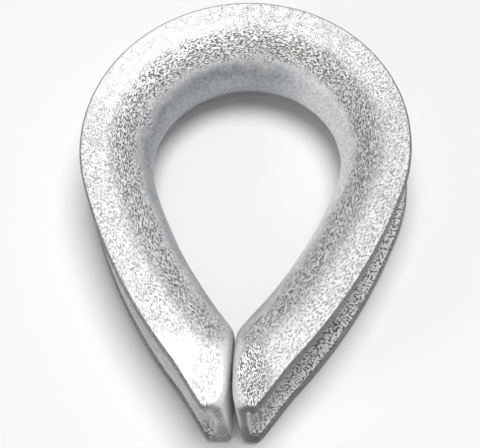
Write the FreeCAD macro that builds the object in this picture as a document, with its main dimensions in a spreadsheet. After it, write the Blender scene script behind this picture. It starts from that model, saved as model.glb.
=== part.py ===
"""Extra-heavy wire rope thimble: one pressed steel channel bent to a teardrop, its two ends meeting in an open seam.

It lies flat: +Z is the axis of the eye, the rear flange stands on z = 0, +Y points to the crown of the arch and the
point of the teardrop is at -Y. The right half is made and mirrored. Sizes are in millimetres.
"""
import FreeCAD, Part
import math
import os
import Sketcher

DIMENSIONS = {
    "rim_radius": 39.7,         # half the overall width
    "throat_radius": 22.85,     # half the width of the eye
    "depth": 24.5,              # over both flanges
    "wall": 4.0,                # plate
    "rim_round": 0.6,           # on the sheared edges
    "turn_arch": 109.4,         # how far each side of the crown the round arch runs, in degrees
    "turn_tip": 131.0,          # where the legs meet at the point of the eye
    "leg_radius": 113.5,        # eye side of each leg is a long gentle curve
    "end_reach": 67.2,          # centre of the arch to the cut end
    "reach_leg": 17.3,          # web to rim half way down a leg
    "reach_tip": 17.8,          # the same at the point of the eye
    "reach_tail": 11.6,         # half way down the seam
    "reach_end": 5.1,           # and at the cut end
    "bend": 12.0,               # outer radius of the channel's bends along the arch and the legs
    "bend_tail": 6.0,           # half way down the seam
    "bend_end": 3.0,            # and at the cut end
    "inner_bend_tail": 3.0,
    "inner_bend_end": 1.0,
    "seam_tip": 0.12,           # half the seam where the legs meet
    "seam_tail": 0.2,
    "seam_end": 0.9,
}

doc = FreeCAD.newDocument("thimble")
sheet = doc.addObject("Spreadsheet::Sheet", "Sheet")
for row, (alias, value) in enumerate(DIMENSIONS.items(), start=1):
    sheet.set(f"A{row}", alias)
    sheet.set(f"B{row}", str(value))
    sheet.setAlias(f"B{row}", alias)
doc.recompute()

body = doc.addObject("PartDesign::Body", "Thimble")
body.Label = "thimble"
planes = {feature.Role: feature for feature in body.Origin.OriginFeatures}


def arc(x, y, radius, start, end):
    """Arc about a centre from start to end, in degrees, anticlockwise."""
    circle = Part.Circle(FreeCAD.Vector(x, y, 0), FreeCAD.Vector(0, 0, 1), radius)
    return Part.ArcOfCircle(circle, math.radians(start), math.radians(end))


def line(start_x, start_y, end_x, end_y):
    return Part.LineSegment(FreeCAD.Vector(start_x, start_y, 0), FreeCAD.Vector(end_x, end_y, 0))


def dimension(sketch, name, expression, *constraint):
    """Add a driving dimension and bind it to the sheet."""
    index = sketch.addConstraint(Sketcher.Constraint(*constraint))
    sketch.renameConstraint(index, name)
    sketch.setExpression(f"Constraints.{name}", expression)


def new_sketch(name, plane):
    sketch = body.newObject("Sketcher::SketchObject", name)
    sketch.AttachmentSupport = [(planes[plane], "")]
    sketch.MapMode = "FlatFace"
    return sketch


def channel(sketch, reach, bend, inner_bend, foot="0"):
    """Draw the channel's section in a sketch: x runs from the web to the rim, y across the depth.

    All four sizes are expressions on the sheet. Foot is where the web stands along x.
    """
    wall = DIMENSIONS["wall"]
    deep = DIMENSIONS["depth"]
    round_ = DIMENSIONS["rim_round"]
    near = float(sheet.evalExpression(foot))
    far = near + float(sheet.evalExpression(reach))
    outer = float(sheet.evalExpression(bend))
    inner = float(sheet.evalExpression(inner_bend))
    step = near + wall
    sketch.addGeometry([
        line(far - round_, deep, near + outer, deep),
        arc(near + outer, deep - outer, outer, 90, 180),
        line(near, deep - outer, near, outer),
        arc(near + outer, outer, outer, 180, 270),
        line(near + outer, 0, far - round_, 0),
        arc(far - round_, round_, round_, 270, 360),
        line(far, round_, far, wall - round_),
        arc(far - round_, wall - round_, round_, 0, 90),
        line(far - round_, wall, step + inner, wall),
        arc(step + inner, wall + inner, inner, 180, 270),
        line(step, wall + inner, step, deep - wall - inner),
        arc(step + inner, deep - wall - inner, inner, 90, 180),
        line(step + inner, deep - wall, far - round_, deep - wall),
        arc(far - round_, deep - wall + round_, round_, 270, 360),
        line(far, deep - wall + round_, far, deep - round_),
        arc(far - round_, deep - round_, round_, 0, 90),
    ], False)
    front, front_bend, web, rear_bend, rear, rear_corner, rear_rim, rear_inner_corner = range(8)
    rear_inside, rear_hollow, floor, front_hollow, front_inside, front_inner_corner, front_rim, corner = range(8, 16)
    start, end = 1, 2
    hollows = (rear_hollow, front_hollow)
    for edge in range(16):
        following = (edge + 1) % 16
        leaves = start if edge in hollows else end
        arrives = end if following in hollows else start
        sketch.addConstraint(Sketcher.Constraint("Tangent", edge, leaves, following, arrives))
    for edge in (front, rear, rear_inside, front_inside):
        sketch.addConstraint(Sketcher.Constraint("Horizontal", edge))
    for edge in (web, floor, rear_rim, front_rim):
        sketch.addConstraint(Sketcher.Constraint("Vertical", edge))
    for edge, twin in ((front_bend, rear_bend), (front_hollow, rear_hollow), (corner, rear_corner),
                       (corner, rear_inner_corner), (corner, front_inner_corner)):
        sketch.addConstraint(Sketcher.Constraint("Equal", edge, twin))
    sketch.addConstraint(Sketcher.Constraint("Vertical", rear_rim, start, front_rim, end))
    sketch.addConstraint(Sketcher.Constraint("PointOnObject", rear, start, -1))
    dimension(sketch, "outer_bend", bend, "Radius", front_bend, outer)
    dimension(sketch, "inner_bend", inner_bend, "Radius", front_hollow, inner)
    dimension(sketch, "rim_round", "Sheet.rim_round", "Radius", corner, round_)
    dimension(sketch, "rear_wall", "Sheet.wall", "DistanceY", rear, end, rear_inside, start, wall)
    dimension(sketch, "front_wall", "Sheet.wall", "DistanceY", front_inside, end, front, start, wall)
    dimension(sketch, "web_wall", "Sheet.wall", "DistanceX", web, end, floor, start, wall)
    dimension(sketch, "over_flanges", "Sheet.depth", "DistanceY", rear, end, front, start, deep)
    dimension(sketch, "reach", reach, "DistanceX", web, end, rear_rim, start, far - near)
    if near:
        dimension(sketch, "foot", foot, "DistanceX", -1, 1, web, end, near)
    else:
        sketch.addConstraint(Sketcher.Constraint("PointOnObject", web, end, -2))


def station(name, foot_x, foot_y, heading, reach, bend, inner_bend):
    """Section of the right leg: it stands upright on the web's line at a foot point and faces along a heading."""
    sketch = new_sketch(name, "XZ_Plane")
    # the rotation's axis is kept when its angle is bound to the sheet
    sketch.AttachmentOffset = FreeCAD.Placement(FreeCAD.Vector(), FreeCAD.Rotation(FreeCAD.Vector(0, 1, 0), -1))
    sketch.setExpression(".AttachmentOffset.Base.x", foot_x)
    sketch.setExpression(".AttachmentOffset.Base.z", f"-({foot_y})")
    sketch.setExpression(".AttachmentOffset.Rotation.Angle", heading)
    channel(sketch, reach, bend, inner_bend)
    return sketch


def loft(name, sections):
    feature = body.newObject("PartDesign::AdditiveLoft", name)
    feature.Profile = sections[0]
    feature.Sections = sections[1:]
    return feature


def make_arch():
    """The round arch, revolved about the axis of the eye, equally to both sides of the crown."""
    sketch = new_sketch("ArchSection", "YZ_Plane")
    channel(sketch, "Sheet.rim_radius - Sheet.throat_radius", "Sheet.bend", "Sheet.bend - Sheet.wall",
            "Sheet.throat_radius")
    arch = body.newObject("PartDesign::Revolution", "Arch")
    arch.Profile = sketch
    arch.ReferenceAxis = (sketch, ["V_Axis"])
    arch.Midplane = True
    arch.setExpression("Angle", "2 * Sheet.turn_arch")


def make_leg():
    """The right leg from the arch to the point of the eye. Returns the loft and its last section."""
    centre = "(Sheet.throat_radius - Sheet.leg_radius)"
    middle = "(Sheet.turn_arch + Sheet.turn_tip) / 2"
    sections = []
    for name, turn, reach in (("LegStart", "Sheet.turn_arch", "Sheet.rim_radius - Sheet.throat_radius"),
                              ("LegMiddle", middle, "Sheet.reach_leg"),
                              ("LegTip", "Sheet.turn_tip", "Sheet.reach_tip")):
        foot_x = f"{centre} * sin(Sheet.turn_arch) + Sheet.leg_radius * sin({turn})"
        foot_y = f"{centre} * cos(Sheet.turn_arch) + Sheet.leg_radius * cos({turn})"
        sections.append(station(name, foot_x, foot_y, f"90 - {turn}", reach, "Sheet.bend",
                                "Sheet.bend - Sheet.wall"))
    return loft("Leg", sections), sections[-1]


def make_tail(tip):
    """From the point of the eye the web runs down beside the seam, while the flanges narrow to the cut end."""
    tip_y = ("((Sheet.throat_radius - Sheet.leg_radius) * cos(Sheet.turn_arch)"
             " + Sheet.leg_radius * cos(Sheet.turn_tip))")
    middle = station("TailMiddle", "Sheet.seam_tail", f"({tip_y} - Sheet.end_reach) / 2",
                     "(90 - Sheet.turn_tip) / 2", "Sheet.reach_tail", "Sheet.bend_tail", "Sheet.inner_bend_tail")
    end = station("TailEnd", "Sheet.seam_end", "-Sheet.end_reach", "0", "Sheet.reach_end", "Sheet.bend_end",
                  "Sheet.inner_bend_end")
    return loft("Tail", [tip, middle, end])


make_arch()
leg, tip_section = make_leg()
tail = make_tail(tip_section)
doc.recompute()

mirror = body.newObject("PartDesign::Mirrored", "LeftLeg")
mirror.Originals = [leg, tail]
mirror.MirrorPlane = (planes["YZ_Plane"], [""])
body.Tip = mirror
doc.recompute()

failed = [item.Name for item in doc.Objects if "Invalid" in item.State or "Error" in item.State]
if failed:
    raise RuntimeError(f"these objects failed: {failed}")
if body.Shape.isNull() or not body.Shape.isValid() or len(body.Shape.Solids) != 1:
    raise RuntimeError("the thimble is not one valid solid")

os.makedirs("parts", exist_ok=True)
body.Shape.exportStep(f"parts/{body.Label}.step")
size = body.Shape.BoundBox
print(f"{body.Label}: {size.XLength:.2f} x {size.YLength:.2f} x {size.ZLength:.2f} mm, "
      f"{body.Shape.Volume / 1000:.2f} cm3")
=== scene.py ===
"""Looks of an extra-heavy wire rope thimble in hot-dip galvanised steel, lying on a pale floor.

Metres, in the part's own frame: +Z is the axis of the eye, +Y points to the crown, and the seam is at -Y.
"""
import math

import bmesh
import bpy
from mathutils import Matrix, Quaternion, Vector


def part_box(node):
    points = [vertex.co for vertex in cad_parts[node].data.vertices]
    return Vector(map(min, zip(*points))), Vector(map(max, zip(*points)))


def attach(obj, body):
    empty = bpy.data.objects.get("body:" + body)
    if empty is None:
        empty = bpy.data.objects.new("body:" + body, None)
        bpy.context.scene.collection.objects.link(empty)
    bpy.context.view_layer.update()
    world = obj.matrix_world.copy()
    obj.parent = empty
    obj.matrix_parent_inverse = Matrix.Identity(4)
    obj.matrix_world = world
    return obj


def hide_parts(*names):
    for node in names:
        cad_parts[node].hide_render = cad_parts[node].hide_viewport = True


MM = 0.001

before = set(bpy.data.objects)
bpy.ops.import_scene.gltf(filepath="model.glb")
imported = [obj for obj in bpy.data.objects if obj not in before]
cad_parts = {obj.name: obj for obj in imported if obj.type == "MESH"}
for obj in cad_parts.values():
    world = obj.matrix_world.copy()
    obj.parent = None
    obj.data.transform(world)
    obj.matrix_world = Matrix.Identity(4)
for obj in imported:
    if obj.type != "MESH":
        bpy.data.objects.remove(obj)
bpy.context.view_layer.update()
low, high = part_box("thimble")

# the channel: its round arch, then its legs, each on one long curve down to the point of the eye
RIM_RADIUS = high.x
THROAT_RADIUS = RIM_RADIUS - 16.85 * MM
MEAN_RADIUS = (RIM_RADIUS + THROAT_RADIUS) / 2
DEPTH = high.z
WALL = 4.0 * MM
BEND = 12.0 * MM
HOLLOW = BEND - WALL
TURN_ARCH = math.radians(109.4)
TURN_TIP = math.radians(131.0)
LEG_RADIUS = 113.5 * MM
TIP_REACH = 17.8 * MM

# the tails, from the point of the eye to the cut ends: half the seam's width, and the section at the ends
END_Y = low.y + 0.1 * MM
SEAM_TIP = 0.12 * MM
SEAM_END = 0.35 * MM
SEAM_CURVE = 3.3
END_BEND = 1.8 * MM
END_HOLLOW = 1.0 * MM
BEND_CURVE = 3.5
END_RIM = 6.0 * MM

# how far edges are rounded: the rims, and at the cut ends inside the groove, on top and elsewhere
SHARP = math.radians(50)
RIM_ROUND = 0.7 * MM
END_ROUND = 1.8 * MM
TOP_ROUND = 0.4 * END_ROUND
SIDE_ROUND = 0.7 * END_ROUND

# how the cut ends settled
LEAN = math.radians(3.9)
SHEARED_BACK = 0.9 * MM

# unevenness of the plate and of the zinc on it
DENT_SIZE = 8 * MM
DENT_DEPTH = 0.25 * MM
CRINKLE_SIZE = 1.3 * MM
CRINKLE_DEPTH = 0.12 * MM

# the small marks in the zinc: strokes down the flanges, folds along the bends, crumbs where it ran thin
STROKE_SIZE = 0.21 * MM
STROKE_LENGTHENING = 4.0
STROKE_SLANT = math.radians(50)
FOLD_SIZE = 0.23 * MM
FOLD_LENGTHENING = 3.6
CRUMB_SIZE = 0.33 * MM
MARK_DEPTH = 0.2 * MM

# colours, with painted shade on the right, the throat's left, the rims and the cut ends, and painted light on
# the left, the throat's right and the groove
BRIGHT_ZINC = (0.85, 0.855, 0.86, 1)
RIGHT_SHADE_ZINC = (0.70, 0.705, 0.71, 1)
WARM_ZINC = (0.88, 0.855, 0.80, 1)
SMOOTH_LIT_ZINC = (0.93, 0.935, 0.94, 1)
SHADED_THROAT_GREY = (0.50, 0.52, 0.55, 1)
LIT_THROAT_WHITE = (0.95, 0.96, 0.97, 1)
LIT_GROOVE_ZINC = (0.97, 0.97, 0.95, 1)
MARK_GREY = (0.06, 0.065, 0.06, 1)
BARE_STEEL_AND_SHADE = (0.15, 0.16, 0.155, 1)
FLOOR_GREY = (0.88, 0.88, 0.88, 1)
SKY = (0.96, 0.975, 1, 1)

# steps of the cage
FLANGE_STEPS = 3
BEND_STEPS = 8
ARCH_STEPS = 27
LEG_STEPS = 11
TAIL_STEPS = 9
NEAR = 0.01 * MM

# the section's stretches, numbered in the cage's vertices
WEB, FRONT_BEND, FRONT_HOLLOW, REAR_BEND, REAR_HOLLOW, SKIN, INSIDE = range(7)


def edit_mesh():
    return bmesh.from_edit_mesh(bpy.context.edit_object.data)


def select_vertices(wanted):
    """Select in edit mode the vertices that pass the test, and the edges and faces between them."""
    mesh = edit_mesh()
    for vertex in mesh.verts:
        vertex.select_set(False)
    for vertex in mesh.verts:
        if wanted(vertex):
            vertex.select_set(True)
    mesh.select_flush_mode()
    bmesh.update_edit_mesh(bpy.context.edit_object.data)


def extrude(shift):
    bpy.ops.mesh.extrude_region_move(TRANSFORM_OT_translate={"value": shift})


def spin(steps, angle, centre, axis):
    """Sweep what is selected about an axis, by the right-hand rule; the operator counts the other way."""
    bpy.ops.mesh.spin(steps=steps, angle=-angle, center=centre, axis=axis)


def turn(angle):
    """Turn what is selected anticlockwise, seen from above; the operator turns the other way."""
    bpy.ops.transform.rotate(value=-angle, orient_axis="Z", center_override=(0, 0, 0))


class Section:
    """The channel's section at one place along the web: where it stands and which way the flanges reach."""

    def __init__(self, along, foot, heading, reach, bend=BEND, hollow=HOLLOW):
        self.along = along
        self.foot = Vector((foot[0], foot[1], 0))
        self.heading = heading
        self.reach = reach
        self.bend = bend
        self.hollow = hollow


def leg_section(share):
    """From the end of the arch, at 0, along the leg's long curve to the point of the eye, at 1."""
    turned = TURN_ARCH + (TURN_TIP - TURN_ARCH) * share
    inside = THROAT_RADIUS - LEG_RADIUS
    reach = RIM_RADIUS - THROAT_RADIUS
    foot = (inside * math.sin(TURN_ARCH) + LEG_RADIUS * math.sin(turned),
            inside * math.cos(TURN_ARCH) + LEG_RADIUS * math.cos(turned))
    along = MEAN_RADIUS * TURN_ARCH + LEG_RADIUS * (turned - TURN_ARCH)
    return Section(along, foot, math.pi / 2 - turned, reach + (TIP_REACH - reach) * share)


def tail_section(share):
    """From the point of the eye, at 0, down beside the seam to the cut end, at 1. The rim stays straight."""
    tip = leg_section(1)
    heading = tip.heading * (1 - share)
    foot = Vector((SEAM_TIP + (SEAM_END - SEAM_TIP) * share ** SEAM_CURVE,
                   tip.foot.y + (END_Y - tip.foot.y) * share))
    rim_start = tip.foot.xy + tip.reach * Vector((math.cos(tip.heading), math.sin(tip.heading)))
    rim = Vector((END_RIM, END_Y)) - rim_start
    facing = Vector((math.cos(heading), math.sin(heading)))
    reach = (rim_start - foot).cross(rim) / facing.cross(rim)
    return Section(tip.along + tip.foot.y - foot.y, foot, heading, reach,
                   END_BEND + (BEND - END_BEND) * (1 - share) ** BEND_CURVE,
                   END_HOLLOW + (HOLLOW - END_HOLLOW) * (1 - share) ** BEND_CURVE)


def stretch_of(place, section):
    """Which stretch of the section a place belongs to, while the section stands along the X axis."""
    skin_depth = min(place.z, DEPTH - place.z)
    if place.x > section.bend + NEAR:
        return SKIN if skin_depth < WALL / 2 else INSIDE
    if abs(place.z - DEPTH / 2) < NEAR:
        return WEB
    outside = math.hypot(place.x - section.bend, skin_depth - section.bend) > section.bend - NEAR
    if place.z > DEPTH / 2:
        return FRONT_BEND if outside else FRONT_HOLLOW
    return REAR_BEND if outside else REAR_HOLLOW


def draw_section(section):
    """Draw the section with its web on the Z axis and its flanges along +X, as a strip one quad thick."""
    flange = section.reach - section.bend
    bpy.ops.mesh.primitive_plane_add(size=1, rotation=(math.pi / 2, 0, 0),
                                     location=(section.bend + flange / 2, 0, DEPTH - WALL / 2))
    bpy.ops.transform.resize(value=(flange, 1, WALL))
    bpy.ops.object.transform_apply(location=True, rotation=True, scale=True)
    bpy.ops.object.mode_set(mode="EDIT")
    bpy.ops.mesh.select_mode(type="EDGE")
    mesh = edit_mesh()
    for edge in mesh.edges:
        edge.select_set(abs(edge.verts[0].co.z - edge.verts[1].co.z) < NEAR)
    bmesh.update_edit_mesh(bpy.context.edit_object.data)
    bpy.ops.mesh.subdivide(number_cuts=FLANGE_STEPS - 1)
    bpy.ops.mesh.select_mode(type="VERT")
    select_vertices(lambda vertex: vertex.co.x < section.bend + NEAR)
    spin(BEND_STEPS, -math.pi / 2, (section.bend, 0, DEPTH - section.bend), (0, 1, 0))
    half_web = DEPTH / 2 - section.bend
    extrude((0, 0, -half_web))
    extrude((0, 0, -half_web))
    spin(BEND_STEPS, -math.pi / 2, (section.bend, 0, section.bend), (0, 1, 0))
    for _ in range(FLANGE_STEPS):
        extrude((flange / FLANGE_STEPS, 0, 0))
    mesh = edit_mesh()
    stretch = mesh.verts.layers.int.new("stretch")
    mesh.verts.layers.float_vector.new("flow")
    mesh.verts.layers.float.new("to_rim")
    for vertex in mesh.verts:
        vertex[stretch] = stretch_of(vertex.co, section)
    bpy.ops.mesh.select_all(action="SELECT")


def note_flow(flow_at):
    """Keep in each chosen vertex its way along, out from the throat and up, and its way to the rim."""
    mesh = edit_mesh()
    flow = mesh.verts.layers.float_vector["flow"]
    to_rim = mesh.verts.layers.float["to_rim"]
    for vertex in mesh.verts:
        if not vertex.select:
            continue
        along, out, reach = flow_at(vertex.co)
        vertex[flow] = (along, out, vertex.co.z)
        vertex[to_rim] = reach - out


def select_stretch(numbers, wanted):
    """Select one stretch of the section whose vertices have these numbers."""
    stretch = edit_mesh().verts.layers.int["stretch"]
    select_vertices(lambda vertex: vertex.index in numbers and vertex[stretch] == wanted)


def reshape(old, new, numbers):
    """Change the section's sizes from old to new, while it stands along the X axis."""
    outer = new.bend / old.bend
    inner = new.hollow / old.hollow
    for stretch, ratio, corner in ((FRONT_BEND, outer, (0, 0, DEPTH)), (REAR_BEND, outer, (0, 0, 0)),
                                   (FRONT_HOLLOW, inner, (WALL, 0, DEPTH - WALL)),
                                   (REAR_HOLLOW, inner, (WALL, 0, WALL))):
        select_stretch(numbers, stretch)
        bpy.ops.transform.resize(value=(ratio, 1, ratio), center_override=corner)
    for stretch, old_start, new_start in ((SKIN, old.bend, new.bend),
                                          (INSIDE, WALL + old.hollow, WALL + new.hollow)):
        select_stretch(numbers, stretch)
        ratio = (new.reach - new_start) / (old.reach - old_start)
        bpy.ops.transform.resize(value=(ratio, 1, 1), center_override=(old_start, 0, 0))
        bpy.ops.transform.translate(value=(new_start - old_start, 0, 0))
    select_vertices(lambda vertex: vertex.index in numbers)


def carry_on(old, new):
    """Extrude the section from where it stands to the next one along the web."""
    extrude((0, 0, 0))
    numbers = {vertex.index for vertex in edit_mesh().verts if vertex.select}
    bpy.ops.transform.translate(value=-old.foot)
    turn(-old.heading)
    reshape(old, new, numbers)
    note_flow(lambda place: (new.along, place.x, new.reach))
    turn(new.heading)
    bpy.ops.transform.translate(value=new.foot)


def use_modifier(piece, kind, **settings):
    """Add a modifier with these settings and apply it at once."""
    modifier = piece.modifiers.new(kind.lower(), kind)
    for name, value in settings.items():
        setattr(modifier, name, value)
    bpy.ops.object.modifier_apply(modifier=modifier.name)


def make_cage():
    """The right half swept from the crown to the cut end, then mirrored."""
    bpy.ops.object.select_all(action="DESELECT")
    crown = Section(0, (0, THROAT_RADIUS), math.pi / 2, RIM_RADIUS - THROAT_RADIUS)
    draw_section(crown)
    turn(crown.heading)
    bpy.ops.transform.translate(value=crown.foot)
    spin(ARCH_STEPS, -TURN_ARCH, (0, 0, 0), (0, 0, 1))
    arch_end = {vertex.index for vertex in edit_mesh().verts if vertex.select}
    bpy.ops.mesh.select_all(action="SELECT")
    note_flow(lambda place: (MEAN_RADIUS * math.atan2(place.x, place.y),
                             place.xy.length - THROAT_RADIUS, crown.reach))
    select_vertices(lambda vertex: vertex.index in arch_end)
    sections = [leg_section(step / LEG_STEPS) for step in range(LEG_STEPS + 1)]
    sections += [tail_section(step / TAIL_STEPS) for step in range(1, TAIL_STEPS + 1)]
    for old, new in zip(sections, sections[1:]):
        carry_on(old, new)
    select_vertices(lambda vertex: vertex.co.x < NEAR and vertex.co.y > 0)
    bpy.ops.mesh.delete(type="FACE")
    bpy.ops.object.mode_set(mode="OBJECT")
    thimble = bpy.context.object
    thimble.name = "galvanised_thimble"
    use_modifier(thimble, "MIRROR", merge_threshold=NEAR)
    flow = thimble.data.attributes["flow"].data
    for vertex in thimble.data.vertices:
        if vertex.co.x < 0:
            flow[vertex.index].vector.x *= -1
    return thimble


def rounding_of(edge, stretch):
    """How far an edge is rounded: little along the rims, and most inside the groove at the cut ends."""
    if max(vertex.co.y for vertex in edge.verts) > END_Y + NEAR:
        return RIM_ROUND
    if all(vertex[stretch] in (INSIDE, FRONT_HOLLOW, REAR_HOLLOW) for vertex in edge.verts):
        return END_ROUND
    on_top = min(vertex.co.z for vertex in edge.verts) > DEPTH - NEAR
    return TOP_ROUND if on_top else SIDE_ROUND


def round_cut_edges(thimble):
    """Round the sheared rims a little and the worn edges of the two cut ends more."""
    bpy.ops.object.mode_set(mode="EDIT")
    bpy.ops.mesh.select_all(action="SELECT")
    bpy.ops.mesh.normals_make_consistent(inside=False)
    bpy.ops.mesh.select_all(action="DESELECT")
    bpy.ops.mesh.select_mode(type="EDGE")
    bpy.ops.mesh.edges_select_sharp(sharpness=SHARP)
    mesh = edit_mesh()
    rounding = mesh.edges.layers.float.new("bevel_weight_edge")
    stretch = mesh.verts.layers.int["stretch"]
    for edge in mesh.edges:
        if edge.select:
            edge[rounding] = rounding_of(edge, stretch) / END_ROUND
    bpy.ops.object.mode_set(mode="OBJECT")
    use_modifier(thimble, "BEVEL", limit_method="WEIGHT", width=END_ROUND, segments=2,
                 use_clamp_overlap=False)


def push(place, size, shift):
    """Push the surface round a place, and less and less of it up to the size away."""
    bpy.ops.object.mode_set(mode="EDIT")
    bpy.ops.mesh.select_mode(type="VERT")
    centre = Vector(place)
    nearest = min((vertex.co - centre).length for vertex in edit_mesh().verts)
    select_vertices(lambda vertex: (vertex.co - centre).length < nearest + NEAR)
    bpy.ops.transform.translate(value=shift, use_proportional_edit=True, proportional_size=size,
                                proportional_edit_falloff="SMOOTH", use_proportional_connected=True)
    bpy.ops.object.mode_set(mode="OBJECT")


def settle_ends():
    """The ends don't meet squarely.

    The right web leans away at the rear, both webs are sheared back a little between the flanges, the
    corners of the flanges at the seam are worn round, and the right flange is dished.
    """
    bpy.ops.object.mode_set(mode="EDIT")
    select_vertices(lambda vertex: 0 < vertex.co.x < 1 * MM and vertex.co.y < END_Y + 5 * MM)
    bpy.ops.transform.rotate(value=LEAN, orient_axis="Y", center_override=(0, END_Y, DEPTH),
                             use_proportional_edit=True, proportional_size=5 * MM,
                             use_proportional_connected=True)
    bpy.ops.object.mode_set(mode="OBJECT")
    for side in (-1, 1):
        push((side * 2.5 * MM, END_Y, 0.55 * DEPTH), 9 * MM, (0, SHEARED_BACK, 0))
    left_corner = (-0.5 * MM, END_Y, DEPTH)
    push(left_corner, 4.5 * MM, (-1.1 * MM, 0.8 * MM, -0.3 * MM))
    right_corner = (0.5 * MM, END_Y, DEPTH)
    push(right_corner, 4 * MM, (0.9 * MM, 1.1 * MM, -0.3 * MM))
    dished = (4.5 * MM, END_Y + 9 * MM, DEPTH)
    push(dished, 5 * MM, (0, 0, -1.0 * MM))


class Signal:
    """A shader socket in an expression: each sign adds its Math node, and node() adds any other kind."""

    def __init__(self, socket):
        self.socket = socket

    def node(self, kind, settings, inputs, output=0):
        """Add a node, make its settings, set or link its sockets, and hand back one of its outputs."""
        tree = self.socket.id_data
        node = tree.nodes.new("ShaderNode" + kind)
        for name, value in settings.items():
            setattr(node, name, value)
        for name, value in inputs.items():
            if isinstance(value, Signal):
                tree.links.new(value.socket, node.inputs[name])
            else:
                node.inputs[name].default_value = value
        return Signal(node.outputs[output])

    def feed(self, node, name):
        """Link this to a node's input."""
        self.socket.id_data.links.new(self.socket, node.inputs[name])

    def maths(self, operation, first, second):
        return self.node("Math", {"operation": operation}, {0: first, 1: second})

    def __add__(self, other):
        return self.maths("ADD", self, other)

    def __radd__(self, other):
        return self.maths("ADD", other, self)

    def __sub__(self, other):
        return self.maths("SUBTRACT", self, other)

    def __rsub__(self, other):
        return self.maths("SUBTRACT", other, self)

    def __mul__(self, other):
        return self.maths("MULTIPLY", self, other)

    def __rmul__(self, other):
        return self.maths("MULTIPLY", other, self)

    def __abs__(self):
        return self.maths("ABSOLUTE", self, 0)

    def lower(self, other):
        return self.maths("MINIMUM", self, other)

    def higher(self, other):
        return self.maths("MAXIMUM", self, other)

    def rise(self, start, end):
        """From 0 at start to 1 at end, smoothly."""
        return self.node("MapRange", {"interpolation_type": "SMOOTHSTEP"},
                         {"Value": self, "From Min": start, "From Max": end})

    def mix(self, base, over):
        """Blend from the base colour to the one over it, by this mask. Sockets 6, 7 and 2 are the colours."""
        return self.node("Mix", {"data_type": "RGBA"}, {0: self, 6: base, 7: over}, 2)

    def blend(self, base, over):
        """The base where this mask is 0 and the other where it is 1."""
        return base + self * (over - base)

    def part(self, axis):
        """One number of a vector, by the name of its axis."""
        return self.node("SeparateXYZ", {}, {0: self}, axis)

    def stretched(self, lengthening, heading=0.0):
        """The same place on a grid stretched along the heading, so that marks come out longer that way."""
        return self.node("Mapping", {"vector_type": "TEXTURE"},
                         {"Vector": self, "Rotation": (0, 0, heading), "Scale": (lengthening, 1, 1)})

    def noise(self, size, detail):
        """Cloudy unevenness from 0 to 1, with lumps of about the size given."""
        return self.node("TexNoise", {}, {"Vector": self, "Scale": 1 / size, "Detail": detail})

    def marks(self, size, core, edge):
        """Small separate marks about as far apart as the size given: 1 within the core, 0 past the edge."""
        spread = self.node("TexVoronoi", {"feature": "F1"}, {"Vector": self, "Scale": 1 / size})
        return 1 - spread.rise(core, edge)


def start_finish(name):
    """A new material, its surface shader and the place on the piece."""
    material = bpy.data.materials.new(name)
    material.use_nodes = True
    tree = material.node_tree
    place = Signal(tree.nodes.new("ShaderNodeTexCoord").outputs["Object"])
    return material, tree.nodes["Principled BSDF"], place


class Regions:
    """Where each kind of surface lies on the thimble, as masks from 0 to 1, and the ways that marks run."""

    def __init__(self, place):
        x = place.part("X")
        y = place.part("Y")
        self.flow = place.node("Attribute", {"attribute_name": "flow"}, {}, "Vector")
        to_rim = place.node("Attribute", {"attribute_name": "to_rim"}, {}, "Fac")
        out = self.flow.part("Y")
        up = self.flow.part("Z")
        self.patches = place.noise(5 * MM, 0.0)
        wavering = self.patches - 0.5

        depth = up.lower(DEPTH - up)
        self.groove = depth.rise(0.8 * WALL, 0.95 * WALL) * out.rise(0.8 * WALL, 0.95 * WALL)
        self.tail = 1 - y.rise(-52 * MM, -40 * MM)
        smooth_way = out + wavering * (2 * MM) - x.rise(8 * MM, 22 * MM) * (0.8 * MM)
        self.throat = (1 - smooth_way.rise(0.8 * MM, 3.4 * MM)) * (1 - self.groove) * (1 - self.tail)
        past_throat = (out + wavering * (4 * MM)).rise(1.5 * MM, 3.5 * MM)
        self.bend = past_throat * (1 - out.rise(6.5 * MM, 11.5 * MM))
        self.rim = 1 - to_rim.rise(0.3 * MM, 0.6 * MM)

        self.right = x.rise(-6 * MM, 16 * MM)
        # painted shade: the right side is darkened, less so towards the crown
        self.right_shade = self.right * (1 - 0.8 * y.rise(5 * MM, 25 * MM))
        self.lit_throat = x.rise(4 * MM, 18 * MM)
        self.crown = y.rise(8 * MM, 26 * MM) * (1 - abs(x).rise(12 * MM, 26 * MM))
        self.left_crown = (1 - x.rise(-16 * MM, 2 * MM)) * y.rise(0, 16 * MM)
        self.left_facet = (1 - x.rise(-2 * MM, 0)) * (1 - y.rise(-54 * MM, -47 * MM)) * (1 - self.groove)
        self.ends = 1 - y.rise(END_Y + 0.6 * MM, END_Y + 1.4 * MM)
        self.near_ends = 1 - y.rise(END_Y + 1 * MM, END_Y + 6 * MM)

        # the halves folded together and kept apart in height, so that strokes slant alike down both
        apart = x.rise(-1 * MM, 1 * MM) * (50 * MM)
        self.folded = place.node("CombineXYZ", {}, {"X": abs(x), "Y": y, "Z": up + apart}, "Vector")


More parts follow.
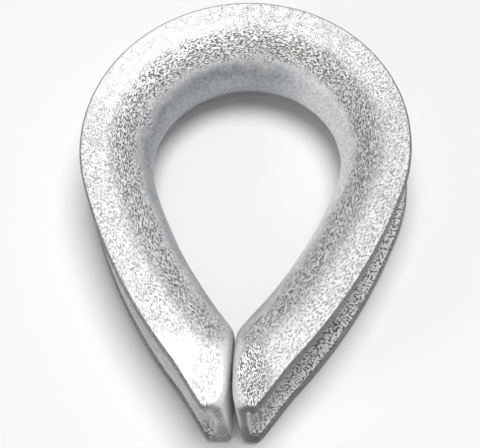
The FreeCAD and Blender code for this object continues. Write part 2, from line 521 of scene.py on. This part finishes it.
class Marks:
    """The zinc's small marks, and how dark and how deep they come out where they lie."""

    def __init__(self, place, on):
        self.grain = place.noise(0.35 * MM, 2.0).rise(0.35, 0.65)
        strokes = on.folded.stretched(STROKE_LENGTHENING, STROKE_SLANT).marks(STROKE_SIZE, 0.22, 0.5)
        strokes = strokes * (0.8 + 0.2 * self.grain)
        folds = on.flow.stretched(FOLD_LENGTHENING).marks(FOLD_SIZE, 0.3, 0.54) * (0.8 + 0.2 * self.grain)
        crumbs = place.marks(CRUMB_SIZE, 0.25, 0.46) * (0.7 + 0.3 * self.grain)
        pits = place.noise(0.5 * MM, 1.0).rise(0.50, 0.60)
        blotches = place.noise(2.2 * MM, 1.0).rise(0.38, 0.55)
        mottle = place.noise(0.8 * MM, 2.0).rise(0.35, 0.7)
        sparse = place.noise(1.2 * MM, 1.0).rise(0.36, 0.60)

        crown_crumbs = crumbs * (0.2 + blotches) * (1 - 0.4 * on.left_crown)
        flange = on.crown.higher(on.left_crown).blend(strokes, crown_crumbs)
        fading = (1 - on.left_facet * (0.85 - 0.3 * sparse)) * (1 - (0.6 + 0.35 * on.right) * on.throat)
        crinkles = on.bend.blend(flange, folds) * fading
        strength = 0.6 - 0.04 * on.tail + 0.38 * on.bend
        pitted = pits * (0.06 + 0.84 * on.right.higher(on.near_ends))
        dark = on.groove.blend(crinkles * strength + 0.3 * on.throat * mottle, pitted)
        # the cut ends carry more dark marks on the right, as painted shade
        self.dark = on.ends.blend(dark, crumbs * (0.6 + 0.3 * on.right))
        sunk = on.groove.blend(on.ends.blend(crinkles, crumbs), pits)
        self.relief = (0.6 + 1.6 * on.bend) * (1 - 0.5 * on.tail) * sunk


def make_zinc():
    """Hot-dip zinc: bright marked flanges, darker folds in the bends, a smooth throat and bare cut faces;
    painted shade on the right, the throat's left, the rims and the cut ends, painted light on the left, the
    throat's right and the groove.
    """
    material, surface, place = start_finish("galvanised_steel")
    on = Regions(place)
    marks = Marks(place, on)

    # painted shade on the right side of the zinc
    colour = on.right_shade.mix(BRIGHT_ZINC, RIGHT_SHADE_ZINC)
    warm = on.crown * on.patches.rise(0.45, 0.7) * 0.5
    colour = warm.mix(colour, WARM_ZINC)
    # the smooth left facet and crown, painted lighter: their fewer marks are real, their lightness is painted
    # light
    colour = on.left_facet.higher(on.left_crown).mix(colour, SMOOTH_LIT_ZINC)
    # the throat: painted shade on its left, painted light on its right
    colour = on.throat.mix(colour, on.lit_throat.mix(SHADED_THROAT_GREY, LIT_THROAT_WHITE))
    # the groove painted light, where the front flange shades it
    colour = on.groove.mix(colour, LIT_GROOVE_ZINC)
    colour = marks.dark.mix(colour, MARK_GREY)
    # painted shade on the rims; the cut ends are bare steel with painted shade, darker on the right
    shaded_rim = on.rim * (0.65 + 0.1 * on.tail + 0.35 * marks.grain)
    bare_and_shaded_ends = on.ends * (0.7 + 0.9 * on.right + 0.5 * (marks.grain - 0.5))
    colour = shaded_rim.higher(bare_and_shaded_ends).mix(colour, BARE_STEEL_AND_SHADE)
    colour.feed(surface, "Base Color")

    metal = (0.3 + 0.5 * on.throat * (1 - on.right)) * (1 - 0.8 * on.groove)
    metal.feed(surface, "Metallic")
    roughness = 0.48 + 0.1 * on.patches + 0.12 * marks.dark - 0.08 * on.throat
    roughness.feed(surface, "Roughness")
    bump = place.node("Bump", {}, {"Strength": 1.0, "Distance": -MARK_DEPTH, "Height": marks.relief})
    bump.feed(surface, "Normal")
    return material


def sink(piece, name, size, depth, weight_at):
    """Sink the surface unevenly along its normals, by no more than the depth.

    The lumps have about the size given. The weight, from 0 to 1, comes from each vertex's way out from the
    throat and its way in from the rim.
    """
    flow = piece.data.attributes["flow"].data
    to_rim = piece.data.attributes["to_rim"].data
    weights = [weight_at(way.vector.y, rim.value) for way, rim in zip(flow, to_rim)]
    group = piece.vertex_groups.new(name=name)
    for number, weight in enumerate(weights):
        group.add([number], weight, "REPLACE")
    texture = bpy.data.textures.new(name, "CLOUDS")
    texture.noise_scale = size
    texture.noise_depth = 1
    use_modifier(piece, "DISPLACE", texture=texture, texture_coords="LOCAL", mid_level=1.0,
                 strength=depth, vertex_group=name)


def dent_weight(out, rim):
    """The rim stays fairly even."""
    return 0.3 + 0.7 * min(1, max(0, rim) / (4 * MM))


def crinkle_weight(out, rim):
    """The throat and the rim stay nearly smooth."""
    smooth_throat = 0.2 if out < 2.5 * MM else 1
    return smooth_throat * min(1, max(0.2, rim / (2 * MM)))


def make_thimble():
    thimble = make_cage()
    round_cut_edges(thimble)
    settle_ends()
    use_modifier(thimble, "SUBSURF", levels=2, render_levels=2)
    sink(thimble, "dents", DENT_SIZE, DENT_DEPTH, dent_weight)
    sink(thimble, "crinkles", CRINKLE_SIZE, CRINKLE_DEPTH, crinkle_weight)
    bpy.ops.object.shade_smooth()
    thimble.data.materials.append(make_zinc())
    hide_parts("thimble")
    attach(thimble, "root")


def make_floor():
    bpy.ops.object.select_all(action="DESELECT")
    bpy.ops.mesh.primitive_plane_add(size=4, location=(0, 0, -0.1 * MM))
    floor = bpy.context.object
    floor.name = "floor"
    bpy.ops.object.transform_apply(location=True)
    pale = bpy.data.materials.new("pale_floor")
    pale.use_nodes = True
    surface = pale.node_tree.nodes["Principled BSDF"]
    surface.inputs["Base Color"].default_value = FLOOR_GREY
    surface.inputs["Roughness"].default_value = 0.7
    floor.data.materials.append(pale)


def make_camera():
    camera = bpy.data.objects.new("camera", bpy.data.cameras.new("camera"))
    bpy.context.scene.collection.objects.link(camera)
    place = Vector((22.51, -174.0, 335.41)) * MM
    target = Vector((-0.77, -16.17, 12.25)) * MM
    roll = Quaternion((0, 0, 1), math.radians(-5.80))
    camera.location = place
    camera.rotation_mode = "QUATERNION"
    camera.rotation_quaternion = (target - place).to_track_quat("-Z", "Y") @ roll
    camera.data.lens = 112.5
    camera.data.sensor_width = 36
    bpy.context.scene.camera = camera


def make_light(name, place, size, power):
    """A round lamp that shines on the centre of the arch."""
    lamp = bpy.data.lights.new(name, "AREA")
    lamp.shape = "DISK"
    lamp.size = size
    lamp.energy = power
    light = bpy.data.objects.new(name, lamp)
    bpy.context.scene.collection.objects.link(light)
    light.location = place
    light.rotation_mode = "QUATERNION"
    light.rotation_quaternion = (-Vector(place)).to_track_quat("-Z", "Y")


def make_sky():
    """Soft light from all round, dimmer overhead."""
    world = bpy.data.worlds.new("studio")
    world.use_nodes = True
    backdrop = world.node_tree.nodes["Background"]
    backdrop.inputs["Color"].default_value = SKY
    heading = Signal(world.node_tree.nodes.new("ShaderNodeTexCoord").outputs["Generated"])
    brightness = 0.5 - 0.3 * heading.part("Z").rise(0.0, 0.7)
    brightness.feed(backdrop, "Strength")
    bpy.context.scene.world = world


make_thimble()
make_floor()
make_camera()
make_light("overhead", place=(0.12, 0.11, 1.2), size=0.65, power=11.9)
make_light("left_fill", place=(-1.1, -0.7, 0.6), size=0.5, power=3.0)
make_light("front_fill", place=(0.1, -0.5, 0.5), size=0.3, power=0.12)
make_sky()
bpy.context.scene.view_settings.view_transform = "Standard"
